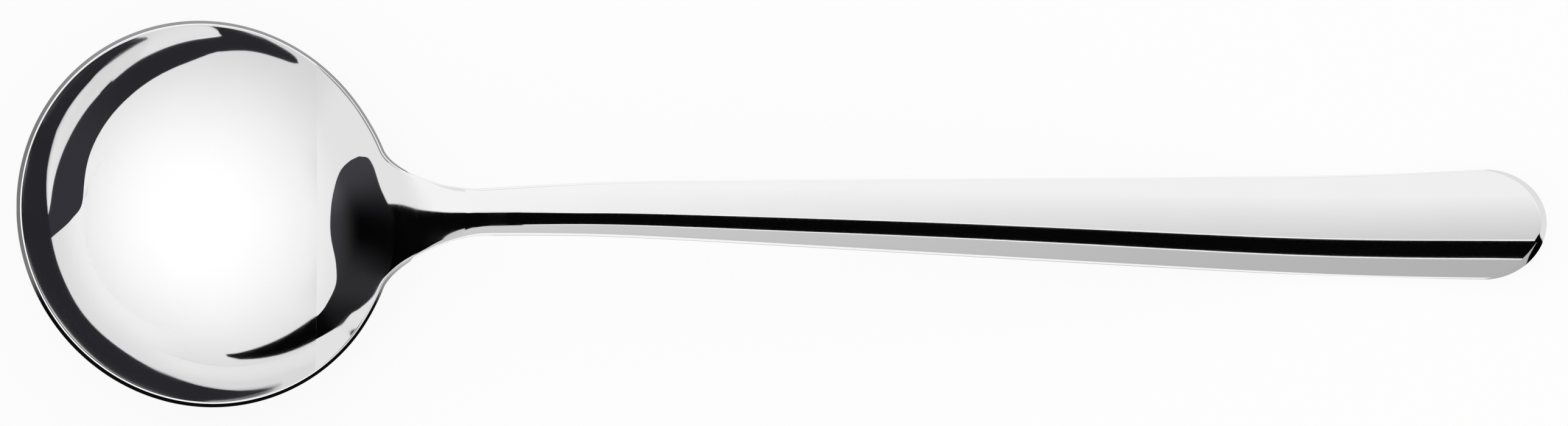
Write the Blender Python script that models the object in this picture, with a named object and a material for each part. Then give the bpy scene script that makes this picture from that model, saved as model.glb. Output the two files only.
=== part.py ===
"""Soup ladle of polished steel: a drawn bowl, a tapering handle and the flush weld between them.

The ladle is worked out in the bowl's own frame: p runs from the bowl's axis to the handle, q across it and
h up the axis, with h = 0 in the plane of the rim. An empty then lays the whole ladle on its back on a table.
"""

import math

import bmesh
import bpy
import numpy as np

# Bowl, in metres and degrees
RIM_RADIUS = 0.0407
BOWL_DEPTH = 0.0195
WALL = 0.0012

# Shoulder, where the rim climbs out of its plane and the bowl narrows to the neck
SHOULDER_ANGLE = 40.0
SHOULDER_TOP_ANGLE = 16.0
SHOULDER_RAISE = 0.0033
SHOULDER_PULL = 0.0005
SHOULDER_INSET = 0.0136
FILLET_ANGLE = 21.5
FILLET_LEAVE = 0.46
FILLET_ARRIVE = 0.45

# Side line: each bend lies this far past the rim or before the tip, and is eased over its softness
KNEE_REACH = 0.0089
KNEE_SOFTNESS = 0.0022
NECK_SLOPE = 0.56
HUMP_REACH = 0.0338
HUMP_SOFTNESS = 0.0067
HANDLE_SLOPE = 0.094
LIFT_LENGTH = 0.0353
LIFT_SOFTNESS = 0.012
END_SLOPE = 0.47

# Neck and handle
NECK_REACH = 0.0163
NECK_WIDTH = 0.0099
NECK_EDGE = 0.0020
NECK_CROWN = 0.0008
HANDLE_LENGTH = 0.2166
END_WIDTH = 0.0231
END_EDGE = 0.0014
END_CROWN = 0.0018
END_ROUND = 0.0121

# Weld, a V filled from above, and the gap that keeps touching pieces apart
WELD_FACE = 0.0036
WELD_ROOT = 0.0016
WELD_GAP = 0.0003

# Depth of the flats on which the ladle lies
REST_FLAT = 0.0002

# Fineness of the surfaces
BOWL_RINGS = 16
ARC_STEP = 5.0
FILLET_STEPS = 10
ACROSS_STEPS = 8
EDGE_STEPS = 4
HANDLE_STEPS = 48
END_STEPS = 9

# Fineness of the sums, with the short steps over which slopes and directions are taken
SIDE_STEPS = 6000
TABLE_STEPS = 3000
ROUNDS = 60
STEEPEST_TILT = 60.0
SLOPE_STEP = 0.00002
TURN_STEP = 0.0001
MERGE = 0.0000001

STEEL_COLOUR = (0.80, 0.80, 0.81, 1.0)
STEEL_ROUGHNESS = 0.06
WELD_COLOUR = (0.78, 0.78, 0.79, 1.0)
WELD_ROUGHNESS = 0.08
SHARP_ANGLE = math.radians(40.0)

NECK = RIM_RADIUS + NECK_REACH
TIP = NECK + HANDLE_LENGTH
TAPER = (END_WIDTH - NECK_WIDTH) / 2 / (HANDLE_LENGTH - END_ROUND)


def smooth(x):
    """0 to 1 with no kink at either end."""
    x = np.clip(x, 0.0, 1.0)
    return x * x * x * (x * (6 * x - 15) + 10)


def bend(along, at, softness):
    """0 before the bend and 1 after it."""
    return 0.5 + 0.5 * np.tanh((along - at) / (2 * softness))


def inner_rim_radius():
    """Radius of the rim's inner edge: the half-round rim stands outside it, square to the leaning wall."""
    radius = RIM_RADIUS - WALL
    for _ in range(ROUNDS):
        lean = 2 * math.atan(BOWL_DEPTH / radius)
        radius = RIM_RADIUS - (1 + math.sin(lean)) * WALL / 2
    return radius


RIM_INNER = inner_rim_radius()
BALL_RADIUS = (RIM_INNER**2 + BOWL_DEPTH**2) / (2 * BOWL_DEPTH)
SIDE_P = np.linspace(0.0, TIP + END_ROUND, SIDE_STEPS + 1)


def side_line():
    """Heights of the upper surface along SIDE_P: a ball-shaped bowl, then the neck, the hump and the lifted end."""
    wall_p = np.minimum(SIDE_P, RIM_INNER)
    slope = wall_p / np.sqrt(BALL_RADIUS**2 - wall_p**2)
    slope += (NECK_SLOPE - slope) * bend(SIDE_P, RIM_RADIUS + KNEE_REACH, KNEE_SOFTNESS)
    slope += (HANDLE_SLOPE - NECK_SLOPE) * bend(SIDE_P, RIM_RADIUS + HUMP_REACH, HUMP_SOFTNESS)
    slope += (END_SLOPE - HANDLE_SLOPE) * bend(SIDE_P, TIP - LIFT_LENGTH, LIFT_SOFTNESS)
    rise = (slope[1:] + slope[:-1]) / 2 * np.diff(SIDE_P)
    return np.concatenate([[0.0], np.cumsum(rise)]) - BOWL_DEPTH


SIDE_H = side_line()


def neck_share(p):
    """0 inside the bowl, 1 from the neck on."""
    return smooth((p - RIM_INNER) / (NECK - RIM_INNER))


def half_width(p):
    """Half the width of the straight taper, carried on past both its ends."""
    return NECK_WIDTH / 2 + TAPER * (p - NECK)


def between(p, at_neck, at_end):
    return at_neck + (at_end - at_neck) * np.clip((p - NECK) / (HANDLE_LENGTH - END_ROUND), 0.0, 1.0)


def shoulder(angle):
    """0 round the plain rim, 1 where the shoulder stands highest."""
    return smooth((SHOULDER_ANGLE - np.degrees(np.abs(angle))) / (SHOULDER_ANGLE - SHOULDER_TOP_ANGLE))


def height(p, q):
    """Upper surface without its crown: turned about the bowl's axis, and straight across from the neck on."""
    radius = np.hypot(p, q)
    along = radius + (p - radius) * neck_share(p)
    climb = smooth((along - RIM_INNER + SHOULDER_INSET) / SHOULDER_INSET)
    return np.interp(along, SIDE_P, SIDE_H) + SHOULDER_RAISE * shoulder(np.arctan2(q, p)) * climb


def slopes(p, q):
    """How steeply the upper surface climbs along the handle and across it."""
    d = SLOPE_STEP
    return (height(p + d, q) - height(p - d, q)) / (2 * d), (height(p, q + d) - height(p, q - d)) / (2 * d)


def upper_depth(p, q):
    """How far the crowned top has fallen away below its centre line."""
    return between(p, NECK_CROWN, END_CROWN) * neck_share(p) * (q / half_width(np.maximum(p, NECK / 2))) ** 2


def lower_depth(p):
    """Thickness from the centre line to the back."""
    thick = between(p, NECK_EDGE + NECK_CROWN, END_EDGE + END_CROWN)
    return WALL + (thick - WALL) * neck_share(p)


def point(p, q, depth):
    """Points this deep under the upper surface, measured square to it."""
    p, q, depth = np.broadcast_arrays(p, q, depth)
    along_p, along_q = slopes(p, q)
    length = np.sqrt(1 + along_p**2 + along_q**2)
    return np.stack([p + along_p / length * depth, q + along_q / length * depth, height(p, q) - depth / length], -1)


def edge_frame(p, q, out_p, out_q):
    """Inset from the outer outline to where the half-round edge starts, and the edge's outward direction."""
    radius = (lower_depth(p) - upper_depth(p, q)) / 2
    along_p, along_q = slopes(p, q)
    climb = along_p * out_p + along_q * out_q
    length = np.sqrt(1 + climb**2)
    inset = radius + (upper_depth(p, q) + radius) * climb / length
    return inset, np.stack([out_p / length, out_q / length, climb / length], -1)


def half_round(p, q, outward, share):
    """Points of a half-round edge at this share of the way from its upper to its lower end."""
    upper, lower = upper_depth(p, q), lower_depth(p)
    radius = (lower - upper) / 2
    turn = math.pi / 2 - math.pi * share
    middle = point(p, q, upper + radius - radius * math.sin(turn))
    return middle + outward * (radius * math.cos(turn))[..., None]


def lay_on_table():
    """Tilt at which bowl and handle touch the table together, and the table's place in the tilted frame."""
    p = np.linspace(0.0, TIP, TABLE_STEPS + 1)
    back = point(p, np.zeros_like(p), lower_depth(p))
    in_bowl = p < RIM_INNER
    on_handle = p > (NECK + TIP) / 2

    def table_heights(tilt):
        return back[:, 2] * math.cos(tilt) - back[:, 0] * math.sin(tilt)

    low, high = 0.0, math.radians(STEEPEST_TILT)
    for _ in range(ROUNDS):
        tilt = (low + high) / 2
        heights = table_heights(tilt)
        if heights[on_handle].min() > heights[in_bowl].min():
            low = tilt
        else:
            high = tilt
    heights = table_heights(tilt)
    lowest = back[in_bowl][heights[in_bowl].argmin()]
    forward = lowest[0] * math.cos(tilt) + lowest[2] * math.sin(tilt)
    return tilt, forward, heights[in_bowl].min() + REST_FLAT


TILT, TABLE_X, TABLE_Z = lay_on_table()


def flatten(points):
    """Lifts what lies below the table onto it, which leaves the small flats that the ladle rests on."""
    up = np.array([-math.sin(TILT), 0.0, math.cos(TILT)])
    below = np.minimum(points @ up - TABLE_Z, 0.0)
    return points - below[..., None] * up


def steel(name, colour, roughness):
    material = bpy.data.materials.new(name)
    material.use_nodes = True
    shader = material.node_tree.nodes["Principled BSDF"]
    shader.inputs["Base Color"].default_value = colour
    shader.inputs["Metallic"].default_value = 1.0
    shader.inputs["Roughness"].default_value = roughness
    return material


def loft(name, rings, caps, origin, parent, material):
    """One closed body through rings of points, with flat caps where asked and points that fall together merged."""
    body = bmesh.new()
    loops = [[body.verts.new(co - origin) for co in ring] for ring in rings]
    for ring, following in zip(loops[:-1], loops[1:]):
        for i, corner in enumerate(ring):
            body.faces.new((corner, ring[i - 1], following[i - 1], following[i]))
    for index in caps:
        body.faces.new(loops[index])
    bmesh.ops.remove_doubles(body, verts=body.verts, dist=MERGE)
    bmesh.ops.dissolve_degenerate(body, edges=body.edges, dist=MERGE)
    bmesh.ops.recalc_face_normals(body, faces=body.faces)
    mesh = bpy.data.meshes.new(name)
    body.to_mesh(mesh)
    body.free()
    mesh.shade_smooth()
    mesh.set_sharp_from_angle(angle=SHARP_ANGLE)
    mesh.materials.append(material)
    piece = bpy.data.objects.new(name, mesh)
    piece.location = origin
    piece.parent = parent
    bpy.context.collection.objects.link(piece)
    return piece


def rim_outline(angle):
    """Outer outline of the rim, drawn in a little where the shoulder climbs, with its outward directions."""

    def place(at):
        radius = RIM_RADIUS - SHOULDER_PULL * shoulder(np.arctan2(np.sin(at), np.cos(at)))
        return np.stack([radius * np.cos(at), radius * np.sin(at)], -1)

    along = place(angle + TURN_STEP) - place(angle - TURN_STEP)
    along /= np.linalg.norm(along, axis=-1)[..., None]
    return place(angle), np.stack([along[..., 1], -along[..., 0]], -1)


def shoulder_fillet(end_p):
    """Outer outline from the rim to the end of the neck, with its outward directions."""
    start, start_out = rim_outline(np.array(math.radians(FILLET_ANGLE)))
    end = np.array([end_p, half_width(end_p)])
    leave = np.array([start_out[1], -start_out[0]])
    arrive = np.array([1.0, TAPER])
    reach = np.linalg.solve(np.array([leave, arrive]).T, end - start)[0]
    corner = start + reach * leave
    first = start + FILLET_LEAVE * (corner - start)
    second = end + FILLET_ARRIVE * (corner - end)
    u = np.linspace(0.0, 1.0, FILLET_STEPS + 1)[:, None]
    outline = (1 - u) ** 3 * start + 3 * u * (1 - u) ** 2 * first + 3 * u**2 * (1 - u) * second + u**3 * end
    along = (1 - u) ** 2 * (first - start) + 2 * u * (1 - u) * (second - first) + u**2 * (end - second)
    along /= np.linalg.norm(along, axis=1)[:, None]
    return outline, np.stack([-along[:, 1], along[:, 0]], -1)


def bowl_edge():
    """Inner edge of the bowl's rim, neck and weld end, the same for its back, and the edge's outward directions."""
    end_top = NECK - WELD_FACE / 2 - WELD_GAP
    end_root = NECK - WELD_ROOT / 2 - WELD_GAP
    count = round((360.0 - 2 * FILLET_ANGLE) / ARC_STEP)
    arc = np.radians(np.linspace(FILLET_ANGLE, 360.0 - FILLET_ANGLE, count + 1))[1:-1]
    rim, rim_out = rim_outline(arc)
    side, side_out = shoulder_fillet(end_top)
    mirror = np.array([1.0, -1.0])
    outline = np.concatenate([rim, side * mirror, side[::-1]])
    outward = np.concatenate([rim_out, side_out * mirror, side_out[::-1]])
    inset, lean = edge_frame(*outline.T, *outward.T)
    upper = outline - inset[:, None] * outward

    # The two sides end in the weld's plane, with a straight row of points between them
    right = len(rim) + FILLET_STEPS
    left = right + 1
    upper[[right, left], 0] = end_top
    lean[[right, left]] = [[0.0, -1.0, 0.0], [0.0, 1.0, 0.0]]
    across = np.linspace(upper[right], upper[left], ACROSS_STEPS + 1)[1:-1]
    upper = np.insert(upper, left, across, axis=0)
    lean = np.insert(lean, left, np.zeros((len(across), 3)), axis=0)
    lower = upper.copy()
    lower[right : left + len(across) + 1, 0] = end_root

    # Rays to the neck leave the bowl's middle evenly spread, so that they don't crowd together there
    to_neck = np.linspace(360.0 - FILLET_ANGLE, 360.0 + FILLET_ANGLE, len(upper) - len(arc))
    return upper, lower, lean, np.concatenate([arc, np.radians(to_neck)])


def along_rays(edge, bearing, share):
    """Places at this share of the way from the bowl's middle to its edge, on rays that bend to their edge point."""
    radius = share * np.hypot(edge[:, 0], edge[:, 1])
    bend_by = np.arctan2(edge[:, 1], edge[:, 0]) - bearing
    bend_by -= 2 * math.pi * np.round(bend_by / (2 * math.pi))
    angle = bearing + bend_by * smooth(share)
    return radius * np.cos(angle), radius * np.sin(angle)


def bowl_rings():
    """Rings from the middle of the bowl's inside, over its edge and back to the middle of its outside."""
    upper, lower, lean, bearing = bowl_edge()
    shares = np.sin(np.linspace(0.0, math.pi / 2, BOWL_RINGS + 1))
    rings = []
    for share in shares:
        p, q = along_rays(upper, bearing, share)
        rings.append(point(p, q, upper_depth(p, q)))
    for step in range(1, EDGE_STEPS):
        share = step / EDGE_STEPS
        p, q = (upper + (lower - upper) * (1 - math.cos(math.pi * share)) / 2).T
        rings.append(half_round(p, q, lean, share))
    for share in shares[::-1]:
        p, q = along_rays(lower, bearing, share)
        rings.append(flatten(point(p, q, lower_depth(p))))
    return rings


def section(p, root_shift, half, outward):
    """One closed section: crowned top, half-round edge, flat back and the other edge."""
    v = np.linspace(-1.0, 1.0, ACROSS_STEPS + 1)
    q = v * half
    mirror = np.array([1.0, -1.0, 1.0])
    loop = [point(p, q, upper_depth(p, q))]
    edge = []
    for step in range(1, EDGE_STEPS):
        share = step / EDGE_STEPS
        line_p = np.array([p + root_shift * (1 - math.cos(math.pi * share)) / 2])
        edge.append(half_round(line_p, np.array([half]), outward[None], share))
    edge = np.concatenate(edge)
    back_p = p + root_shift
    loop += [edge, point(back_p, q[::-1], lower_depth(back_p)), edge[::-1] * mirror]
    return flatten(np.concatenate(loop))


def straight_section(p, root_shift):
    half = half_width(p)
    inset, _ = edge_frame(np.array(p), np.array(half), np.array(0.0), np.array(1.0))
    return section(p, root_shift, half - float(inset), np.array([0.0, 1.0, 0.0]))


def handle_rings():
    start = NECK + WELD_FACE / 2 + WELD_GAP
    root_shift = (WELD_ROOT - WELD_FACE) / 2
    round_start = TIP - END_ROUND
    straight = np.linspace(start, round_start, HANDLE_STEPS)
    rings = [straight_section(straight[0], root_shift)]
    rings += [straight_section(p, 0.0) for p in straight[1:]]
    for turn in np.linspace(0.0, math.pi / 2, END_STEPS)[1:]:
        p = round_start + END_ROUND * math.sin(turn)
        q = END_WIDTH / 2 * math.cos(turn)
        normal = np.array([math.sin(turn) / END_ROUND, math.cos(turn) / (END_WIDTH / 2)])
        normal /= np.linalg.norm(normal)
        inset, outward = edge_frame(np.array(p), np.array(q), normal[0], normal[1])
        rings.append(section(p - inset * normal[0], 0.0, max(q - inset * normal[1], 0.0), outward))
    return rings


def weld_rings():
    root_shift = (WELD_FACE - WELD_ROOT) / 2
    return [
        straight_section(NECK - WELD_FACE / 2, root_shift),
        straight_section(NECK + WELD_FACE / 2, -root_shift),
    ]


def main():
    for old in list(bpy.data.objects):
        bpy.data.objects.remove(old)
    ladle = bpy.data.objects.new("ladle", None)
    ladle.location = (-TABLE_X, 0.0, -TABLE_Z)
    ladle.rotation_euler = (0.0, TILT, 0.0)
    bpy.context.collection.objects.link(ladle)

    polished = steel("polished_steel", STEEL_COLOUR, STEEL_ROUGHNESS)
    dressed = steel("dressed_weld", WELD_COLOUR, WELD_ROUGHNESS)
    at_rim = np.zeros(3)
    at_neck = np.array([NECK, 0.0, float(height(NECK, 0.0))])
    loft("bowl", bowl_rings(), (), at_rim, ladle, polished)
    loft("handle", handle_rings(), (0,), at_neck, ladle, polished)
    loft("neck_weld", weld_rings(), (0, -1), at_neck, ladle, dressed)


main()
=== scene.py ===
import math

import bmesh
import bpy
import numpy as np
from mathutils import Matrix, Vector


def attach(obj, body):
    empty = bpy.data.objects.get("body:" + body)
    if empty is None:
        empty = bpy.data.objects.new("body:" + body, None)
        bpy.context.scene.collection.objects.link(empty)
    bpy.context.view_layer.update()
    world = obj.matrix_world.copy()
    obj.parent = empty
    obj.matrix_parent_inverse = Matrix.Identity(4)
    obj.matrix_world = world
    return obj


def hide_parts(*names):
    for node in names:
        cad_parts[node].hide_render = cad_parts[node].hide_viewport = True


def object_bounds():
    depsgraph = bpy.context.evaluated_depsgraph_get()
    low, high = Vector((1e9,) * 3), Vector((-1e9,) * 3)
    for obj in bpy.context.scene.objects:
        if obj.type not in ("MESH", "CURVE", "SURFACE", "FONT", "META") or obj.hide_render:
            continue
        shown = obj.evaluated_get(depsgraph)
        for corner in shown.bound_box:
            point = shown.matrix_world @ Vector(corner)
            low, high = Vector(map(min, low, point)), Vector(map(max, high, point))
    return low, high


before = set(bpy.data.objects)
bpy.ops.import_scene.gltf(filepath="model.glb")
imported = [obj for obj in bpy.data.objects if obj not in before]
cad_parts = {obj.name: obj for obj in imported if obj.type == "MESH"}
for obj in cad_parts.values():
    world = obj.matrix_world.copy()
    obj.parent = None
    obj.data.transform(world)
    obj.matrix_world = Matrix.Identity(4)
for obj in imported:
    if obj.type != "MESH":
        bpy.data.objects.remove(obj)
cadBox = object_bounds()
print("frame loaded:", ", ".join(sorted(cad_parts)))

# The ladle is worked out in the bowl's own frame: p from the bowl's axis to the handle, q across, h up the
# axis, with h = 0 in the plane of the rim. Sizes are the solids' own, in metres and degrees.
bowlShape = {
    "rimRadius": 0.0407,
    "depth": 0.0195,
    "wall": 0.0012,
    "shoulderAngle": 40.0,
    "shoulderTopAngle": 16.0,
    "shoulderRaise": 0.0033,
    "shoulderPull": 0.0005,
    "shoulderInset": 0.0136,
    "cutPower": 0.4,
    "filletAngle": 21.5,
    "filletLeave": 0.46,
    "filletArrive": 0.45,
    "rimSteps": 400,
    "filletSteps": 44,
    "rings": 84,
}

# side line: each bend lies this far past the rim or before the tip, eased over its softness
lineShape = {
    "kneeReach": 0.0089,
    "kneeSoftness": 0.0022,
    "neckSlope": 0.56,
    "humpReach": 0.0338,
    "humpSoftness": 0.0067,
    "handleSlope": 0.094,
    "liftLength": 0.0353,
    "liftSoftness": 0.012,
    "endSlope": 0.47,
    "steps": 6000,
    "slopeStep": 0.00002,
    "turnStep": 0.0001,
}

handleShape = {
    "neckReach": 0.0163,
    "neckWidth": 0.0099,
    "neckEdge": 0.0020,
    "neckCrown": 0.0008,
    "length": 0.2166,
    "endWidth": 0.0231,
    "endEdge": 0.0014,
    "endCrown": 0.0018,
    "endRound": 0.0121,
    "straightSteps": 360,
    "endSteps": 60,
    "acrossSteps": 40,
    "edgeSteps": 12,
}

weldShape = {
    "face": 0.0036,
    "root": 0.0016,
    "steps": 14,
}

tableShape = {
    "restFlat": 0.0002,
    "backSteps": 3000,
    "rounds": 60,
    "steepestTilt": 60.0,
}

merge = 1e-7
rimRadius = bowlShape["rimRadius"]
neckP = rimRadius + handleShape["neckReach"]
tipP = neckP + handleShape["length"]
straightLength = handleShape["length"] - handleShape["endRound"]
taper = (handleShape["endWidth"] - handleShape["neckWidth"]) / 2 / straightLength
faceUp, faceDown = math.pi / 2, -math.pi / 2


def smooth(x):  # smootherstep 6x^5 - 15x^4 + 10x^3 from 0 to 1
    x = np.clip(x, 0.0, 1.0)
    return x * x * x * (x * (6 * x - 15) + 10)


def bendShare(along, at, softness):  # logistic step: 0 before the bend, 1 after it
    return 0.5 + 0.5 * np.tanh((along - at) / (2 * softness))


def innerRimRadius():  # rim radius less the half-round edge, which stands square to the leaning wall
    radius = rimRadius - bowlShape["wall"]
    for _ in range(tableShape["rounds"]):
        lean = 2 * math.atan(bowlShape["depth"] / radius)
        radius = rimRadius - (1 + math.sin(lean)) * bowlShape["wall"] / 2
    return radius


rimInner = innerRimRadius()
ballRadius = (rimInner**2 + bowlShape["depth"] ** 2) / (2 * bowlShape["depth"])


def sideSlope(along):  # ball slope, then bends to the neck, the hump and the lifted end
    line = lineShape
    wallP = np.clip(along, 0.0, rimInner)
    slope = wallP / np.sqrt(ballRadius**2 - wallP**2)
    atKnee = bendShare(along, rimRadius + line["kneeReach"], line["kneeSoftness"])
    slope = slope + (line["neckSlope"] - slope) * atKnee
    toHandle = line["handleSlope"] - line["neckSlope"]
    slope = slope + toHandle * bendShare(along, rimRadius + line["humpReach"], line["humpSoftness"])
    toEnd = line["endSlope"] - line["handleSlope"]
    return slope + toEnd * bendShare(along, tipP - line["liftLength"], line["liftSoftness"])


sideP = np.linspace(0.0, tipP + handleShape["endRound"], lineShape["steps"] + 1)
sideRises = (sideSlope(sideP)[1:] + sideSlope(sideP)[:-1]) / 2 * np.diff(sideP)
sideH = np.concatenate([[0.0], np.cumsum(sideRises)]) - bowlShape["depth"]


def sideHeight(along):  # integral of the slope, read with a cubic between its steps
    step = sideP[1]
    i = np.clip((along / step).astype(int), 0, lineShape["steps"] - 1)
    t = along / step - i
    start, end = sideSlope(sideP[i]) * step, sideSlope(sideP[i + 1]) * step
    rise = sideH[i + 1] - sideH[i]
    return sideH[i] + t * (start + t * (3 * rise - 2 * start - end + t * (start + end - 2 * rise)))


def neckShare(p):  # 0 inside the bowl, 1 from the neck on
    return smooth((p - rimInner) / (neckP - rimInner))


def halfWidth(p):  # straight taper, carried on past both ends
    return handleShape["neckWidth"] / 2 + taper * (p - neckP)


def fromNeckToEnd(p, atNeck, atEnd):
    return atNeck + (atEnd - atNeck) * np.clip((p - neckP) / straightLength, 0.0, 1.0)


def shoulder(angle):  # 0 round the plain rim, 1 where the shoulder stands highest
    turn = bowlShape["shoulderAngle"] - np.degrees(np.abs(angle))
    return smooth(turn / (bowlShape["shoulderAngle"] - bowlShape["shoulderTopAngle"]))


# side line turned about the bowl's axis, straight across from the neck on, with the shoulder's climb
def height(p, q):
    radius = np.hypot(p, q)
    along = radius + (p - radius) * neckShare(p)
    climb = smooth((along - rimInner) / bowlShape["shoulderInset"] + 1)
    return sideHeight(along) + bowlShape["shoulderRaise"] * shoulder(np.arctan2(q, p)) * climb


def slopes(p, q):
    d = lineShape["slopeStep"]
    return (height(p + d, q) - height(p - d, q)) / (2 * d), (height(p, q + d) - height(p, q - d)) / (2 * d)


def upperDepth(p, q):  # fall of the crowned top: crown * (q / half width)^2
    crown = fromNeckToEnd(p, handleShape["neckCrown"], handleShape["endCrown"])
    return crown * neckShare(p) * (q / halfWidth(np.maximum(p, neckP / 2))) ** 2


def lowerDepth(p):  # wall in the bowl, edge and crown in the handle
    atNeck = handleShape["neckEdge"] + handleShape["neckCrown"]
    thick = fromNeckToEnd(p, atNeck, handleShape["endEdge"] + handleShape["endCrown"])
    return bowlShape["wall"] + (thick - bowlShape["wall"]) * neckShare(p)


def sunk(p, q, depth):  # point this deep under the upper surface, square to it
    alongP, alongQ = slopes(p, q)
    length = np.sqrt(1 + alongP**2 + alongQ**2)
    sunkH = height(p, q) - depth / length
    return np.stack([p + alongP / length * depth, q + alongQ / length * depth, sunkH], -1)


# superellipse power of the edge: 1 is half-round on neck and handle, less is the rim's flat cut
def edgePower(p):
    return bowlShape["cutPower"] + (1 - bowlShape["cutPower"]) * neckShare(p)


def skin(p, q, turn, outward):  # top face at turn 90, back at -90, and between them the edge along outward
    upper = upperDepth(p, q)
    radius = (lowerDepth(p) - upper) / 2
    power = edgePower(p)
    rise = np.sign(turn) * np.abs(np.sin(turn)) ** power
    reach = radius * np.abs(np.cos(turn)) ** power
    return sunk(p, q, upper + radius * (1 - rise)) + outward * reach[..., None]


def unit(vectors):
    return vectors / np.linalg.norm(vectors, axis=-1, keepdims=True)


def skinNormals(p, q, turn, outward):  # blend of the faces' own normals and the edge's outward direction
    d = lineShape["slopeStep"]
    still = np.zeros_like(outward)

    def faceNormal(face):
        alongP = skin(p + d, q, face, still) - skin(p - d, q, face, still)
        alongQ = skin(p, q + d, face, still) - skin(p, q - d, face, still)
        return unit(np.cross(alongP, alongQ)) * np.sin(face)

    power = 2 - edgePower(p)
    top = faceNormal(faceUp) * (np.maximum(np.sin(turn), 0.0) ** power)[..., None]
    back = faceNormal(faceDown) * (np.maximum(-np.sin(turn), 0.0) ** power)[..., None]
    return unit(top + back + outward * (np.abs(np.cos(turn)) ** power)[..., None])


def edgeFrame(p, q, outP, outQ):  # inset from the outer outline to where the edge starts, and its direction
    radius = (lowerDepth(p) - upperDepth(p, q)) / 2
    alongP, alongQ = slopes(p, q)
    climb = alongP * outP + alongQ * outQ
    length = np.sqrt(1 + climb**2)
    power = 2 / (2 - edgePower(p))
    reach = ((1 / length) ** power + (np.abs(climb) / length) ** power) ** (1 / power)
    inset = radius * reach + (upperDepth(p, q) + radius) * climb / length
    return inset, np.stack([outP / length, outQ / length, climb / length], -1)


# tilt at which the backs of bowl and handle touch the table together, and the table's place
def layOnTable():
    p = np.linspace(0.0, tipP, tableShape["backSteps"] + 1)
    back = sunk(p, np.zeros_like(p), lowerDepth(p))
    inBowl, onHandle = p < rimInner, p > (neckP + tipP) / 2
    low, high = 0.0, math.radians(tableShape["steepestTilt"])
    for _ in range(tableShape["rounds"]):
        tilt = (low + high) / 2
        heights = back[:, 2] * math.cos(tilt) - back[:, 0] * math.sin(tilt)
        bowlLeads = heights[onHandle].min() > heights[inBowl].min()
        low, high = (tilt, high) if bowlLeads else (low, tilt)
    lowest = back[inBowl][heights[inBowl].argmin()]
    forward = lowest[0] * math.cos(tilt) + lowest[2] * math.sin(tilt)
    return tilt, forward, heights[inBowl].min() + tableShape["restFlat"]


tilt, tableX, tableZ = layOnTable()
turnToTable = np.array([
    [math.cos(tilt), 0.0, math.sin(tilt)],
    [0.0, 1.0, 0.0],
    [-math.sin(tilt), 0.0, math.cos(tilt)],
])


def onTable(points, normals):  # bowl frame to the part's frame, with what dips under the table facing down
    placed = points @ turnToTable.T - np.array([tableX, 0.0, tableZ])
    turned = normals @ turnToTable.T
    turned[placed[..., 2] < 0.0] = (0.0, 0.0, -1.0)
    return placed, turned


# quads between neighbouring rings, each ring closed on itself, kept inside the solids' box
def makePiece(node, rings, capped, material):
    points, normals = onTable(*rings)
    points = np.clip(points, *np.array(cadBox))
    count, around = points.shape[:2]
    row = np.arange(count - 1)[:, None] * around
    here = np.arange(around)
    following = (here + 1) % around
    corners = (row + here, row + following, row + around + following, row + around + here)
    quads = np.stack(np.broadcast_arrays(*corners), -1)
    caps = [(here + ring % count * around).tolist() for ring in capped]
    mesh = bpy.data.meshes.new(node + "Skin")
    mesh.from_pydata(points.reshape(-1, 3).tolist(), [], quads.reshape(-1, 4).tolist() + caps)
    kept = mesh.attributes.new("skinNormal", "FLOAT_VECTOR", "POINT")
    kept.data.foreach_set("vector", normals.astype(np.float32).ravel())
    work = bmesh.new()
    work.from_mesh(mesh)
    bmesh.ops.remove_doubles(work, verts=work.verts, dist=merge)
    bmesh.ops.dissolve_degenerate(work, edges=work.edges, dist=merge)
    bmesh.ops.recalc_face_normals(work, faces=work.faces)
    work.to_mesh(mesh)
    work.free()
    mesh.shade_smooth()
    smoothNormals = np.empty(len(mesh.vertices) * 3, np.float32)
    mesh.attributes["skinNormal"].data.foreach_get("vector", smoothNormals)
    mesh.normals_split_custom_set_from_vertices(smoothNormals.reshape(-1, 3).tolist())
    mesh.attributes.remove(mesh.attributes["skinNormal"])
    mesh.materials.append(material)
    piece = bpy.data.objects.new(node + "_polished", mesh)
    bpy.context.scene.collection.objects.link(piece)
    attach(piece, "root")
    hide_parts(node)
    mesh.calc_loop_triangles()
    print(node, "made:", len(mesh.loop_triangles), "triangles")
    return piece


# circle of the rim, drawn in a little under the shoulder, with its outward directions
def rimOutline(angle):
    def place(at):
        radius = rimRadius - bowlShape["shoulderPull"] * shoulder(np.arctan2(np.sin(at), np.cos(at)))
        return np.stack([radius * np.cos(at), radius * np.sin(at)], -1)

    along = unit(place(angle + lineShape["turnStep"]) - place(angle - lineShape["turnStep"]))
    return place(angle), np.stack([along[..., 1], -along[..., 0]], -1)


# cubic Bezier curve from the rim to the end of the neck, with its outward directions
def shoulderFillet(endP):
    start, startOut = rimOutline(np.array(math.radians(bowlShape["filletAngle"])))
    end = np.array([endP, halfWidth(endP)])
    leave = np.array([startOut[1], -startOut[0]])
    arrive = np.array([1.0, taper])
    corner = start + np.linalg.solve(np.array([leave, arrive]).T, end - start)[0] * leave
    first = start + bowlShape["filletLeave"] * (corner - start)
    second = end + bowlShape["filletArrive"] * (corner - end)
    u = np.linspace(0.0, 1.0, bowlShape["filletSteps"] + 1)[:, None]
    v = 1 - u
    outline = v**3 * start + 3 * u * v**2 * first + 3 * u**2 * v * second + u**3 * end
    along = unit(v**2 * (first - start) + 2 * u * v * (second - first) + u**2 * (end - second))
    return outline, np.stack([-along[:, 1], along[:, 0]], -1)


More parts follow.
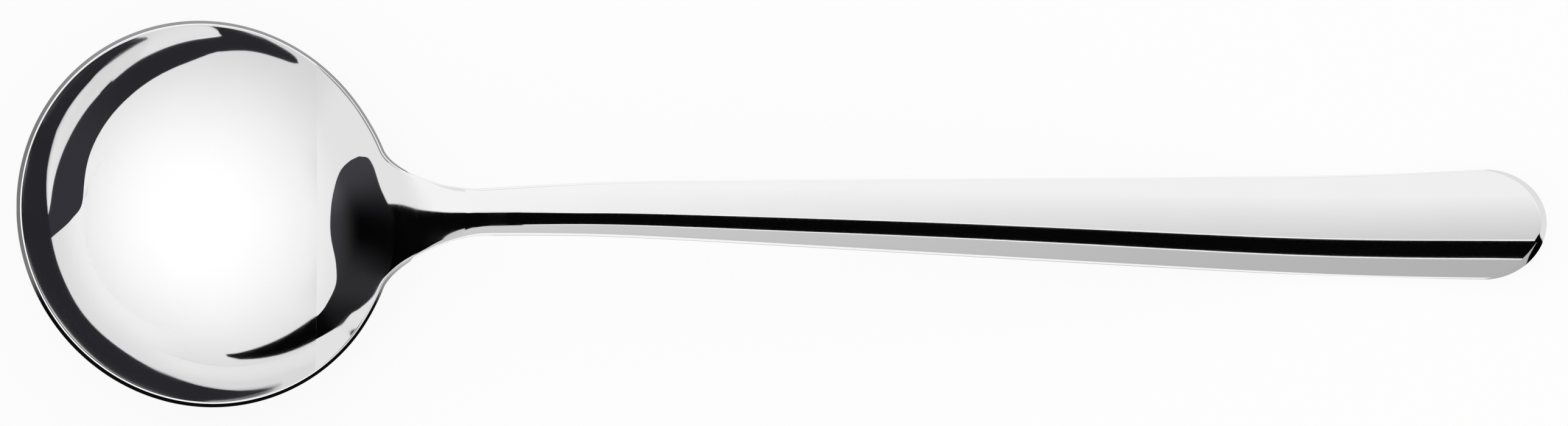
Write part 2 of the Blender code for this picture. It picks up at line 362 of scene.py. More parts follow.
# where the edge starts round the rim, the neck and the weld end, above and below, and its directions
def bowlEdge():
    endTop, endRoot = neckP - weldShape["face"] / 2, neckP - weldShape["root"] / 2
    filletAngle = bowlShape["filletAngle"]
    arc = np.radians(np.linspace(filletAngle, 360.0 - filletAngle, bowlShape["rimSteps"] + 1))[1:-1]
    rim, rimOut = rimOutline(arc)
    side, sideOut = shoulderFillet(endTop)
    mirror = np.array([1.0, -1.0])
    outline = np.concatenate([rim, side * mirror, side[::-1]])
    outward = np.concatenate([rimOut, sideOut * mirror, sideOut[::-1]])
    inset, lean = edgeFrame(*outline.T, *outward.T)
    upper = outline - inset[:, None] * outward
    right = len(rim) + bowlShape["filletSteps"]
    left = right + 1
    endHalf = straightHalf(endTop)
    upper[[right, left]] = [[endTop, -endHalf], [endTop, endHalf]]
    lean[[right, left]] = [[0.0, -1.0, 0.0], [0.0, 1.0, 0.0]]
    across = np.linspace(upper[right], upper[left], handleShape["acrossSteps"] + 1)[1:-1]
    upper = np.insert(upper, left, across, axis=0)
    lean = np.insert(lean, left, np.zeros((len(across), 3)), axis=0)
    lower = upper.copy()
    lower[right : left + len(across) + 1, 0] = endRoot
    toNeck = np.radians(np.linspace(360.0 - filletAngle, 360.0 + filletAngle, len(upper) - len(arc)))
    return upper, lower, lean, np.concatenate([arc, toNeck])


# rays from the bowl's middle, bent to their edge points, over the edge and back under the bowl
def bowlRings():
    upper, lower, lean, bearing = bowlEdge()
    reach = np.sin(np.linspace(0.0, math.pi / 2, bowlShape["rings"] + 1))
    edgeTurn = np.linspace(faceUp, faceDown, handleShape["edgeSteps"] + 1)[1:-1]
    share = np.concatenate([reach, np.ones_like(edgeTurn), reach[::-1]])[:, None]
    turn = np.concatenate([np.full_like(reach, faceUp), edgeTurn, np.full_like(reach, faceDown)])[:, None]
    edge = upper + (lower - upper) * ((1 - np.sin(turn)) / 2)[..., None]
    bendBy = np.arctan2(edge[..., 1], edge[..., 0]) - bearing
    bendBy -= 2 * math.pi * np.round(bendBy / (2 * math.pi))
    angle = bearing + bendBy * smooth(share)
    radius = share * np.hypot(edge[..., 0], edge[..., 1])
    p, q = radius * np.cos(angle), radius * np.sin(angle)
    grid = (p, q, np.broadcast_to(turn, p.shape), np.broadcast_to(lean, p.shape + (3,)))
    return skin(*grid), skinNormals(*grid)


def straightHalf(p):  # half the flat-topped part of a straight section
    half = halfWidth(np.asarray(p, float))
    return half - edgeFrame(np.asarray(p, float), half, np.zeros_like(half), np.ones_like(half))[0]


# one turn round a section: top, edge, back, edge; share across, turn and side of each point
def sectionRound():
    across = np.linspace(-1.0, 1.0, handleShape["acrossSteps"] + 1)
    edgeTurn = np.linspace(faceUp, faceDown, handleShape["edgeSteps"] + 1)[1:-1]
    share = np.concatenate([across, np.ones_like(edgeTurn), across[::-1], -np.ones_like(edgeTurn)])
    turn = [np.full_like(across, faceUp), edgeTurn, np.full_like(across, faceDown), edgeTurn[::-1]]
    return share, np.concatenate(turn), np.where(share < 0, -1.0, 1.0)


# the section carried along p, with its half widths and edge directions
def carriedSection(p, half, outward):
    share, turn, side = sectionRound()
    q = share * half[:, None]
    p = np.broadcast_to(p, q.shape)
    directions = outward[:, None, :] * np.stack([np.ones_like(side), side, np.ones_like(side)], -1)
    grid = (p, q, np.broadcast_to(turn, q.shape), directions)
    return skin(*grid), skinNormals(*grid)


def endNormals(turn):  # outward directions round the elliptical end
    alongP, alongQ = np.sin(turn) / handleShape["endRound"], np.cos(turn) * 2 / handleShape["endWidth"]
    return unit(np.stack([alongP, alongQ], -1))


def handleRings():  # straight taper from the weld, then an elliptical end
    weldEnd, roundStart = neckP + weldShape["face"] / 2, tipP - handleShape["endRound"]
    straight = np.linspace(weldEnd, roundStart, handleShape["straightSteps"] + 1)
    turn = np.linspace(0.0, math.pi / 2, handleShape["endSteps"] + 1)[1:]
    outlineP = tipP - handleShape["endRound"] * (1 - np.sin(turn))
    outlineQ = handleShape["endWidth"] / 2 * np.cos(turn)
    normal = endNormals(turn)
    inset, endOut = edgeFrame(outlineP, outlineQ, normal[:, 0], normal[:, 1])
    p = np.concatenate([straight, outlineP - inset * normal[:, 0]])[:, None]
    half = np.concatenate([straightHalf(straight), np.maximum(outlineQ - inset * normal[:, 1], 0.0)])
    outward = np.concatenate([np.tile([0.0, 1.0, 0.0], (len(straight), 1)), endOut])
    rootShift = (weldShape["root"] - weldShape["face"]) / 2
    firstRing = (np.arange(len(p)) == 0)[:, None]
    _, sectionTurn, _ = sectionRound()
    return carriedSection(p + firstRing * rootShift * (1 - np.sin(sectionTurn)) / 2, half, outward)


def weldRings():  # the V between bowl and handle, filled from above and dressed flush with both
    along = np.linspace(-1.0, 1.0, weldShape["steps"] + 1)
    _, sectionTurn, _ = sectionRound()
    width = weldShape["face"] + (weldShape["root"] - weldShape["face"]) * (1 - np.sin(sectionTurn)) / 2
    p = neckP + along[:, None] * width / 2
    half = straightHalf(neckP + along * weldShape["face"] / 2)
    return carriedSection(p, half, np.tile([0.0, 1.0, 0.0], (len(along), 1)))


steelFinish = {
    "colour": (0.93, 0.93, 0.935),
    "worn": (0.90, 0.90, 0.905),
    "smoothest": 0.025,
    "roughest": 0.07,
    "weldRoughest": 0.1,
    "lineDepth": 0.0000003,
    "lineDetail": 3.0,
    "cloudScale": 90.0,
    "cloudDetail": 2.0,
    "ringLines": 2600.0,
    "ringSpread": 2.5,
    "longLines": (14.0, 2600.0, 60.0),
    "weldLines": (120.0, 2000.0, 120.0),
}


# one node of that kind and operation, its inputs linked or set in turn
def addNode(tree, kind, operation, *inputs):
    node = tree.nodes.new(kind)
    if operation:
        node.operation = operation
    for socket, value in zip(node.inputs, inputs):
        if isinstance(value, bpy.types.NodeSocket):
            tree.links.new(value, socket)
        elif value is not None:
            socket.default_value = value
    return node


def makePolishLines():  # fine polishing lines, stretched along the grain vector, over broad faint clouds
    group = bpy.data.node_groups.new("polishLines", "ShaderNodeTree")
    sockets = (("Grain", "INPUT", "NodeSocketVector"), ("Place", "INPUT", "NodeSocketVector"),
               ("Lines", "OUTPUT", "NodeSocketFloat"), ("Clouds", "OUTPUT", "NodeSocketFloat"))
    for name, direction, kind in sockets:
        group.interface.new_socket(name, in_out=direction, socket_type=kind)
    inputs, outputs = group.nodes.new("NodeGroupInput"), group.nodes.new("NodeGroupOutput")
    lines = group.nodes.new("ShaderNodeTexNoise")
    lines.inputs["Scale"].default_value = 1.0
    lines.inputs["Detail"].default_value = steelFinish["lineDetail"]
    clouds = group.nodes.new("ShaderNodeTexNoise")
    clouds.inputs["Scale"].default_value = steelFinish["cloudScale"]
    clouds.inputs["Detail"].default_value = steelFinish["cloudDetail"]
    group.links.new(inputs.outputs["Grain"], lines.inputs["Vector"])
    group.links.new(inputs.outputs["Place"], clouds.inputs["Vector"])
    group.links.new(lines.outputs[0], outputs.inputs["Lines"])
    group.links.new(clouds.outputs[0], outputs.inputs["Clouds"])
    return group


polishLines = makePolishLines()


def ringGrain(tree, place):  # grain vector for lines round the bowl's axis: radius fine, bearing coarse
    turned = tree.nodes.new("ShaderNodeMapping")
    turned.vector_type = "POINT"
    turned.inputs["Location"].default_value = (tableX * math.cos(tilt) - tableZ * math.sin(tilt), 0.0, 0.0)
    turned.inputs["Rotation"].default_value = (0.0, -tilt, 0.0)
    tree.links.new(place, turned.inputs["Vector"])
    flat = addNode(tree, "ShaderNodeVectorMath", "MULTIPLY", turned.outputs[0], (1.0, 1.0, 0.0))
    radius = addNode(tree, "ShaderNodeVectorMath", "LENGTH", flat.outputs[0])
    bearing = addNode(tree, "ShaderNodeVectorMath", "NORMALIZE", flat.outputs[0])
    coarse = addNode(tree, "ShaderNodeVectorMath", "SCALE", bearing.outputs[0])
    coarse.inputs["Scale"].default_value = steelFinish["ringSpread"]
    fine = addNode(tree, "ShaderNodeMath", "MULTIPLY", radius.outputs["Value"], steelFinish["ringLines"])
    apart = addNode(tree, "ShaderNodeCombineXYZ", None, 0.0, 0.0, fine.outputs[0])
    return addNode(tree, "ShaderNodeVectorMath", "ADD", coarse.outputs[0], apart.outputs[0]).outputs[0]


def longGrain(tree, place):  # grain vector for lines along the handle
    return addNode(tree, "ShaderNodeVectorMath", "MULTIPLY", place, steelFinish["longLines"]).outputs[0]


def crossGrain(tree, place):  # grain vector for the dressed weld, brushed a little coarser
    return addNode(tree, "ShaderNodeVectorMath", "MULTIPLY", place, steelFinish["weldLines"]).outputs[0]


def steelMaterial(name, grain, roughest):
    material = bpy.data.materials.new(name)
    material.use_nodes = True
    tree = material.node_tree
    shader = tree.nodes["Principled BSDF"]
    shader.inputs["Metallic"].default_value = 1.0
    place = tree.nodes.new("ShaderNodeTexCoord").outputs["Object"]
    polish = tree.nodes.new("ShaderNodeGroup")
    polish.node_tree = polishLines
    tree.links.new(grain(tree, place), polish.inputs["Grain"])
    tree.links.new(place, polish.inputs["Place"])
    tint = tree.nodes.new("ShaderNodeMix")
    tint.data_type = "RGBA"
    tint.inputs["A"].default_value = steelFinish["colour"] + (1.0,)
    tint.inputs["B"].default_value = steelFinish["worn"] + (1.0,)
    tree.links.new(polish.outputs["Clouds"], tint.inputs["Factor"])
    tree.links.new(tint.outputs["Result"], shader.inputs["Base Color"])
    sheen = tree.nodes.new("ShaderNodeMapRange")
    sheen.inputs["To Min"].default_value = steelFinish["smoothest"]
    sheen.inputs["To Max"].default_value = roughest
    tree.links.new(polish.outputs["Lines"], sheen.inputs["Value"])
    tree.links.new(sheen.outputs[0], shader.inputs["Roughness"])
    bump = tree.nodes.new("ShaderNodeBump")
    bump.inputs["Distance"].default_value = steelFinish["lineDepth"]
    tree.links.new(polish.outputs["Lines"], bump.inputs["Height"])
    tree.links.new(bump.outputs[0], shader.inputs["Normal"])
    return material


ringPolish = steelMaterial("ringPolish", ringGrain, steelFinish["roughest"])
longPolish = steelMaterial("longPolish", longGrain, steelFinish["roughest"])
weldPolish = steelMaterial("weldPolish", crossGrain, steelFinish["weldRoughest"])
makePiece("bowl", bowlRings(), (), ringPolish)
makePiece("handle", handleRings(), (0,), longPolish)
makePiece("neck_weld", weldRings(), (0, -1), weldPolish)

floorShape = {
    "side": 60.0,
    "drop": 0.0001,
    "colour": (0.9, 0.9, 0.9, 1.0),
    "glow": 0.85,
}


def makeFloor():
    half, low = floorShape["side"] / 2, -floorShape["drop"]
    corners = [(-half, -half, low), (half, -half, low), (half, half, low), (-half, half, low)]
    mesh = bpy.data.meshes.new("floor")
    mesh.from_pydata(corners, [], [(0, 1, 2, 3)])
    material = bpy.data.materials.new("paleFloor")
    material.use_nodes = True
    tree = material.node_tree
    tree.nodes.clear()
    diffuse = addNode(tree, "ShaderNodeBsdfDiffuse", None, floorShape["colour"])
    glow = tree.nodes.new("ShaderNodeEmission")
    mix = addNode(tree, "ShaderNodeMixShader", None, floorShape["glow"], diffuse.outputs[0], glow.outputs[0])
    addNode(tree, "ShaderNodeOutputMaterial", None, mix.outputs[0])
    mesh.materials.append(material)
    floor = bpy.data.objects.new("floor", mesh)
    bpy.context.scene.collection.objects.link(floor)


makeFloor()
print("floor laid")

# The boards are painted reflections, set for the photograph's view alone, so that the steel mirrors the
# dark shapes it has there. They glow by their shade attribute and are no lamps. Only reflections see them:
# most the first one alone, one the later ones, the round board of painted shade under the bowl all, some
# only from close by. No real studio could set them so. Without the calls that make them, only floor and
# world light the ladle.
perMetre = 1000  # outlines of boards are in millimetres
laterThan = 1.5  # Glossy Depth is 1 at the first reflection and 2 at the second


# base plus smooth changes, each an amount, where it starts and how far it takes
def ramps(x, base, *changes):
    level = np.full(np.shape(x), float(base))
    for amount, start, over in changes:
        level = level + amount * smooth((x - start) / over)
    return level


# painted reflection: a board glows as bright as its shade attribute, seen only by reflections, and is no
# lamp
def paintedReflectionMaterial(name, tint, reflection, oneSided, reach):  # as bright as the board's own shade attribute
    material = bpy.data.materials.new(name)
    material.use_nodes = True
    tree = material.node_tree
    tree.nodes.clear()
    shade = tree.nodes.new("ShaderNodeAttribute")
    shade.attribute_name = "shade"
    board = addNode(tree, "ShaderNodeEmission", None, tint + (1.0,), shade.outputs["Fac"])
    clear = tree.nodes.new("ShaderNodeBsdfTransparent")
    path = tree.nodes.new("ShaderNodeLightPath")
    seen = path.outputs["Is Glossy Ray"]
    if reflection:
        operation = "LESS_THAN" if reflection == "first" else "GREATER_THAN"
        order = addNode(tree, "ShaderNodeMath", operation, path.outputs["Glossy Depth"], laterThan)
        seen = addNode(tree, "ShaderNodeMath", "MULTIPLY", seen, order.outputs[0]).outputs[0]
    if reach:
        near = addNode(tree, "ShaderNodeMath", "LESS_THAN", path.outputs["Ray Length"], reach)
        seen = addNode(tree, "ShaderNodeMath", "MULTIPLY", seen, near.outputs[0]).outputs[0]
    if oneSided:
        back = tree.nodes.new("ShaderNodeNewGeometry").outputs["Backfacing"]
        seen = addNode(tree, "ShaderNodeMath", "GREATER_THAN", seen, back).outputs[0]
    cover = tree.nodes.new("ShaderNodeAttribute")
    cover.attribute_name = "cover"
    seen = addNode(tree, "ShaderNodeMath", "MULTIPLY", seen, cover.outputs["Fac"]).outputs[0]
    mix = addNode(tree, "ShaderNodeMixShader", None, seen, clear.outputs[0], board.outputs[0])
    addNode(tree, "ShaderNodeOutputMaterial", None, mix.outputs[0])
    return material


def makeBoard(name, points, faces, shade, cover=1.0, tint=(1.0, 1.0, 1.0), reflection="first",
              oneSided=False, reach=None):
    mesh = bpy.data.meshes.new(name)
    mesh.from_pydata(np.asarray(points, float).tolist(), [], np.asarray(faces).tolist())
    for key, value in (("shade", shade), ("cover", cover)):
        values = np.array(np.broadcast_to(value, len(points)), np.float32)
        mesh.attributes.new(key, "FLOAT", "POINT").data.foreach_set("value", values)
    mesh.materials.append(paintedReflectionMaterial(name, tint, reflection, oneSided, reach))
    board = bpy.data.objects.new(name, mesh)
    board.visible_camera = board.visible_diffuse = board.visible_transmission = False
    board.visible_shadow = board.visible_volume_scatter = False
    bpy.context.scene.collection.objects.link(board)


def outlineBoard(name, points, shade, **look):  # one flat face inside the outline, in metres
    makeBoard(name, points, [np.arange(len(points))], shade, **look)


def gridBoard(name, points, shade, cover=1.0, **look):  # quads between neighbours of a grid, in metres
    rows, columns = points.shape[:2]
    index = np.arange(rows * columns).reshape(rows, columns)
    faces = np.stack([index[:-1, :-1], index[1:, :-1], index[1:, 1:], index[:-1, 1:]], -1).reshape(-1, 4)
    shade, cover = (np.broadcast_to(value, (rows, columns)).ravel() for value in (shade, cover))
    makeBoard(name, points.reshape(-1, 3), faces, shade, cover, **look)


def between(low, high, steps):  # grid of straight lines from one edge to the other
    share = np.linspace(0.0, 1.0, steps + 1)
    return low[:, None] + (high - low)[:, None] * share[:, None]


def atLevel(outline, level):
    return np.column_stack([np.array(outline, float), np.full(len(outline), level)])


def curveThrough(points, steps):  # Catmull-Rom curve through the points
    inner = np.array(points, float)
    line = np.concatenate([[2 * inner[0] - inner[1]], inner, [2 * inner[-1] - inner[-2]]])
    a, b, c, d = (line[k : len(line) - 3 + k, None] for k in range(4))
    t = np.linspace(0.0, 1.0, steps, endpoint=False)[:, None]
    curve = b + t * ((c - a) + t * (2 * a - 5 * b + 4 * c - d + t * (3 * b - a - 3 * c + d))) / 2
    return np.concatenate([curve.reshape(-1, inner.shape[1]), inner[-1:]])


# painted reflections: level boards over the bowl, and a round board of painted shade under it that its
# back mirrors, dark in the middle
reflectionPaintSetup = {
    "coolTint": (1.0, 0.98, 1.2),
    "smokeTint": (1.0, 0.98, 1.12),
    "black": 0.0005,
    "level": 45,
    "back": ((-85, 43), (-31, 44), (-25, 53), (-15, 72), (-5, 91), (4, 108), (12, 119), (12, 134), (2, 152),
             (-14, 147), (-32, 139), (-64, 110), (-82, 100)),
    "ringShade": 0.0192,
    "ringInner": ((-7, 43), (0, 44.5), (10, 43), (20, 39), (30, 36), (38, 30), (43, 22), (46, 10), (48, -5),
                  (46, -15), (40, -19), (33, -20), (24, -21)),
    "ringOuter": ((30, 92), (100, 260), (200, 300), (320, 300), (400, 260), (460, 180), (500, 100),
                  (500, 60), (500, 20), (500, -10), (500, -30), (500, -33.5), (24, -33.5)),
    "underShadeRadius": 80,
    "underShadeHole": 0.001,
    "underShadeX": -10,
    "underShadeTones": (0.06, (0.89, 0, 1)),
    "underShadeSteps": 64,
}


def makeBowlReflectionPaint():
    setup = reflectionPaintSetup
    names = ("back", "ringInner", "ringOuter")
    back, *ring = (atLevel(setup[name], setup["level"]) / perMetre for name in names)
    outlineBoard("paintedBackReflection", back, setup["black"])
    gridBoard("paintedRingReflection", between(*ring, 1), setup["ringShade"], tint=setup["coolTint"], reflection="later")
    turn = np.linspace(0.0, 2 * math.pi, setup["underShadeSteps"] + 1)
    out = np.linspace(setup["underShadeHole"], 1.0, setup["underShadeSteps"] // 2 + 1)[:, None]
    x, y = (setup["underShadeRadius"] * out * part / perMetre for part in (np.cos(turn), np.sin(turn)))
    # round board of painted shade under the bowl, seen in every reflection
    mat = np.stack(np.broadcast_arrays(x + setup["underShadeX"] / perMetre, y, -floorShape["drop"] / 2), -1)
    gridBoard("paintedUnderBowlShade", mat, ramps(out, *setup["underShadeTones"]), reflection=None)


makeBowlReflectionPaint()
print("painted reflections and painted shade set")

# The dark bands along the bowl's wall mirror dark boards, painted reflections, that stand on a cone inside
# the bowl, before a pale glowing board. Each line of a dark board is a bearing round the bowl's axis in
# degrees, then its top and foot from the rim's plane.
bandPaintSetup = {
    "radius": 28,
    "flare": 0.4,
    "apart": 0.15,
    "flagSteps": 8,
    "lip": ((70, -0.5, -1.2), (79, -0.7, -1.6), (81.5, -0.7, -1.2), (90, -0.5, -0.8), (100, -0.4, -0.4)),
    "lipShade": (0.021,),
    "outer": ((101.5, -2.6, -2.7), (114, -2.9, -3.9), (130, -4.1, -5.1), (154, -5.6, -6.7),
              (178, -6.8, -8.3), (200, -7, -8.7), (222, -7, -8.5), (244, -6.5, -8.1), (263, -5.6, -7.1),
              (280, -5, -5.8), (292, -4.6, -4.9), (304, -3.9, -3.9)),
    "outerShade": (0.020,),
    "inner": ((55.5, -0.6, -0.6), (57.5, -0.3, -1), (62, -0.3, -1.4), (70, -0.5, -2.1), (78, -1.4, -3.1),
              (81, -1.9, -3.5), (90, -2.8, -5.1), (106, -4.4, -7.2), (122, -6, -9), (146, -7.6, -11.2),
              (170, -8.4, -13.1), (180, -8.3, -11.5), (187.5, -8.6, -8.6)),
    "innerShade": (0.021, (0.014, 105, 50)),
    "sheetTop": ((134, -8), (188, -8.6), (212, -8.5), (240, -8), (262, -7), (276, -6)),
    "sheetFoot": -14.2,
    "sheetShade": (0.93, (-0.165, -5.3, 6.5)),
    "sheetFades": (12, 30),
    "sheetFootFade": 1.2,
    "sheetCurveSteps": 10,
    "sheetSteps": 20,
}


def makeBandReflectionPaint():
    setup = bandPaintSetup

    def onCone(bearing, high, behind):
        radius = setup["radius"] + setup["flare"] * high - behind * setup["apart"]
        turn = np.radians(bearing)
        around = (radius * np.cos(turn), radius * np.sin(turn), high)
        points = np.stack(np.broadcast_arrays(*around), -1) / perMetre
        return onTable(points, np.zeros_like(points))[0]

    flags = ("lip", "outer", "inner")  # from the wall inwards
    # each dark flag is a board of painted reflection
    for behind, name in enumerate(flags):
        bearing, top, foot = curveThrough(setup[name], setup["flagSteps"]).T
        lines = between(onCone(bearing, foot, behind), onCone(bearing, top, behind), 1)
        shade = ramps(bearing, *setup[name + "Shade"])
        gridBoard(name + "Flag", lines, shade[:, None], tint=reflectionPaintSetup["coolTint"], oneSided=True)
    # the pale board behind them, a painted reflection too
    bearing, top = curveThrough(setup["sheetTop"], setup["sheetCurveSteps"]).T[..., None]
    foot = setup["sheetFoot"]
    high = foot + (top - foot) * np.linspace(0.0, 1.0, setup["sheetSteps"] + 1)
    startFade, endFade = setup["sheetFades"]
    cover = smooth((bearing - bearing[0]) / startFade) * smooth((bearing[-1] - bearing) / endFade)
    cover = cover * smooth((high - foot) / setup["sheetFootFade"])
    shade = ramps(high - top, *setup["sheetShade"])
    gridBoard("paintedPaleBandReflection", onCone(bearing, high, len(flags)), shade, cover, oneSided=True)


makeBandReflectionPaint()
print("bands set in the bowl")

# What the steep shoulder and the neck mirror is painted on an upright plane across the bowl, just before
# them: painted reflections of a black outline of neck and shoulder on pale glowing boards. Lines of the neck
# and the fan are z, left y and right y, the other outlines are y and z.
shoulderPaintSetup = {
    "plane": 14,
    "apart": 0.002,
    "steps": 10,
    "neck": ((130, -44, 8), (90, -26, 6.7), (60, -13.4, 5.7), (46, -8.4, 5.3), (37, -4.5, 5),
             (32, -1.8, 4.9), (28, -1.1, 4.6), (23, -1.5, 4), (18, -5, 3.9)),
    "neckBehind": 0.5,
    "shoulderTop": ((-25, 9.9), (-20, 11), (-17, 11.8), (-15.5, 13.1), (-14.6, 14.4), (-13, 15.8),
                    (-10.5, 16.9), (-5, 17.9), (0, 18.6), (3, 18.7), (4.4, 17.7), (6, 16.8), (9, 16.4),
                    (11.4, 15.5), (12.4, 13.5)),
    "shoulderFoot": ((-25, 9.3), (-23, 7.9), (-20.5, 7), (-18.7, 7.6), (-15.5, 8.4), (-11, 8.4), (-6.5, 7.3),
                     (-2, 6.2), (2, 6.1), (6, 6.8), (9.5, 8.6), (11.5, 11), (12.4, 13.5)),
    "shoulderColumns": 160,
    "shoulderRows": 30,
    "coreAt": 0.5,
    "coreWidth": 5,
    "corePower": 2.6,
    "coreDepth": 0.96,
    "coreUp": (0, (1, 6, 5)),
    "smokeAcross": (0.001, (0.0275, -20, 10), (0.022, 1, 7)),
    "smokeFoot": (0, (0.015, -19, 6), (0.02, -1, 8)),
    "smokeFootUp": (1, (-1, 5.8, 4)),
    "paleTop": ((-34, 15.6), (-22, 14.6), (-17, 14.2), (-14.5, 15.5), (-10, 20), (6, 20.2), (13, 18.9),
                (19, 16.3), (23, 15.9), (40, 15.8)),
    "paleFoot": 1.5,
    "paleRows": 20,
    "paleUp": (0.925, (-0.095, 2.6, 8), (0.15, 20, 12)),
    "paleDull": (0, (0.085, 17, 14)),
    "paleDullUp": (1, (-1, 20, 10)),
    "fan": ((130, 0, 100), (60, 0, 38), (45, 0, 22), (33, 0, 13), (25, 0, 8), (20, 0, 8.2)),
    "greyRight": ((8.5, 30), (8.5, 15.8), (60, 15.8), (60, 30)),
    "greyRightShade": 0.33,
    "greyLeft": ((-100, 130), (-100, 37), (0, 37), (0, 130)),
    "greyLeftShade": 0.62,
}


def makeShoulderReflectionPaint():
    setup = shoulderPaintSetup
    steps = setup["steps"]

    def onPlane(across, high, behind=0):
        away = setup["plane"] - behind * setup["apart"]
        return np.column_stack(np.broadcast_arrays(away, across, high)) / perMetre

    def upright(name, behind):  # board between its left and right edges, from the top down
        high, left, right = curveThrough(setup[name], steps).T
        return between(onPlane(left, high, behind), onPlane(right, high, behind), 1)

    # painted reflection: black where the neck's stripe runs down it, smoky grey beside that, lighter at the
    # foot
    def shoulderReflectionShade(points):
        y, z = points[..., 1] * perMetre, points[..., 2] * perMetre
        core = np.exp(-np.abs((y - setup["coreAt"]) / setup["coreWidth"]) ** setup["corePower"])
        core = core * ramps(z, *setup["coreUp"])
        foot = ramps(y, *setup["smokeFoot"]) * ramps(z, *setup["smokeFootUp"])
        return ramps(y, *setup["smokeAcross"]) * (1 - setup["coreDepth"] * core) + foot

    # painted reflection of the pale boards round the dark outline
    def paleShade(points):  # brightest at the foot and up the neck, duller to the right
        y, z = points[..., 1] * perMetre, points[..., 2] * perMetre
        return ramps(z, *setup["paleUp"]) - ramps(y, *setup["paleDull"]) * ramps(z, *setup["paleDullUp"])

    gridBoard("paintedNeckReflection", upright("neck", setup["neckBehind"]), reflectionPaintSetup["black"], oneSided=True)
    foot, top = (curveThrough(setup[name], steps) for name in ("shoulderFoot", "shoulderTop"))
    across = np.linspace(foot[0, 0], foot[-1, 0], setup["shoulderColumns"])
    edges = (onPlane(across, np.interp(across, *line.T)) for line in (foot, top))
    patch = between(*edges, setup["shoulderRows"])
    gridBoard("paintedShoulderReflection", patch, shoulderReflectionShade(patch), tint=reflectionPaintSetup["smokeTint"], oneSided=True)
    paleTop = curveThrough(setup["paleTop"], steps)
    paleFoot = onPlane(paleTop[:, 0], setup["paleFoot"], 1)
    pale = between(paleFoot, onPlane(*paleTop.T, 1), setup["paleRows"])
    gridBoard("paintedPaleShoulderReflection", pale, paleShade(pale), oneSided=True)
    fan = upright("fan", 1)
    gridBoard("paintedPaleNeckReflection", fan, paleShade(fan), oneSided=True)
    # grey boards to the right and left: painted reflections as well
    for name in ("greyRight", "greyLeft"):
        outline = onPlane(*np.array(setup[name], float).T, 2)
        outlineBoard(name + "Wall", outline, setup[name + "Shade"], oneSided=True)


makeShoulderReflectionPaint()
print("boards set before the shoulder")

# The rim's cut edge mirrors a low ring close round it, a painted reflection: grey behind the bowl and black
# before it.
rimPaintSetup = {
    "out": 0.0058,
    "below": 0.0025,
    "above": 0.009,
    "reach": 0.014,
    "from": 16,
    "to": 346,
    "steps": 165,
    "shade": (0.34, (-0.14, 100, 70), (-0.198, 198, 12), (0.5, 335, 11)),
}


def makeRimReflectionPaint():
    setup = rimPaintSetup
    bearing = np.linspace(setup["from"], setup["to"], setup["steps"] + 1)
    turn = np.radians(bearing)
    circle = (rimRadius + setup["out"]) * np.column_stack([np.cos(turn), np.sin(turn)])
    still = np.zeros((len(circle), 3))
    edges = [onTable(atLevel(circle, high), still)[0] for high in (-setup["below"], setup["above"])]
    shade = ramps(bearing, *setup["shade"])
    gridBoard("paintedRimReflection", between(*edges, 1), shade[:, None], reach=setup["reach"])


makeRimReflectionPaint()
print("painted rim reflection set")

# Painted reflections over the handle. Shades of each board run from the neck to the handle's end, along
# its lower and its upper edge.
handlePaintSetup = {
    "lift": 0.030,
    "sideLift": 0.003,
    "reach": 0.046,
    "steps": 240,
    "before": 0.010,
    "past": 0.020,
    "gap": 0.0006,
    "lowOut": 0.044,
    "highOut": 0.026,
    "sideOut": 0.052,
    "stripeTop": (0.0027, (-0.003, 0.024, 0.05), (-0.006, 0.11, 0.20)),
    "stripeLow": (-0.0107, (-0.0049, 0.13, 0.16)),
    "lowShades": ((0.62, 0.44), (0.66, 0.45)),
    "highShades": ((0.97, 0.60), (0.99, 0.93)),
    "sideShades": ((0.99, 0.93), (0.99, 0.95)),
}


# painted reflections that draw the handle's dark stripe and its grey and pale zones
def makeHandleReflectionPaint():  # a black strip, a grey board and pale sheets carried along over the handle
    setup = handlePaintSetup
    p = np.linspace(neckP - setup["before"], tipP + setup["past"], setup["steps"] + 1)

    def over(lift, y):
        line, _ = onTable(sunk(p, np.zeros_like(p), np.full_like(p, -lift)), np.zeros((len(p), 3)))
        return np.column_stack([line[:, 0], y, line[:, 2]])

    def sheet(name, low, high, edgeShades):
        along = np.linspace(0.0, 1.0, len(p))
        shades = [near + (far - near) * along for near, far in edgeShades]
        gridBoard(name, between(low, high, 1), np.column_stack(shades), reach=setup["reach"])

    gap, lift, sideLift = setup["gap"], setup["lift"], setup["sideLift"]
    x = over(lift, np.zeros_like(p))[:, 0]
    stripeTop, stripeLow = (ramps(x, *setup[name]) for name in ("stripeTop", "stripeLow"))
    black = (reflectionPaintSetup["black"], reflectionPaintSetup["black"])
    lowEdge = over(sideLift, stripeLow - setup["lowOut"])
    highEdge = over(lift, stripeTop + setup["highOut"])
    sideEdge = over(sideLift, stripeTop + setup["sideOut"])
    sheet("paintedStripeReflection", over(lift, stripeLow), over(lift, stripeTop), (black, black))
    sheet("paintedLowReflection", lowEdge, over(lift, stripeLow - gap), setup["lowShades"])
    sheet("paintedHighReflection", over(lift, stripeTop + gap), highEdge, setup["highShades"])
    sheet("paintedSideReflection", highEdge, sideEdge, setup["sideShades"])


makeHandleReflectionPaint()
print("painted reflections set over the handle")

# The handle's rounded edge mirrors a low wall close round it, a painted reflection in the tones of the
# painted reflections over the handle beside it.
edgePaintSetup = {
    "out": 0.0015,
    "below": 0.004,
    "above": 0.0016,
    "aboveEnd": 0.020,
    "reach": 0.022,
    "sideSteps": 120,
    "endSteps": 90,
    "stripe": (-0.72, -0.32),
    "upperShades": (0.95, 0.80),
    "lowerShades": (0.64, 0.46),
}


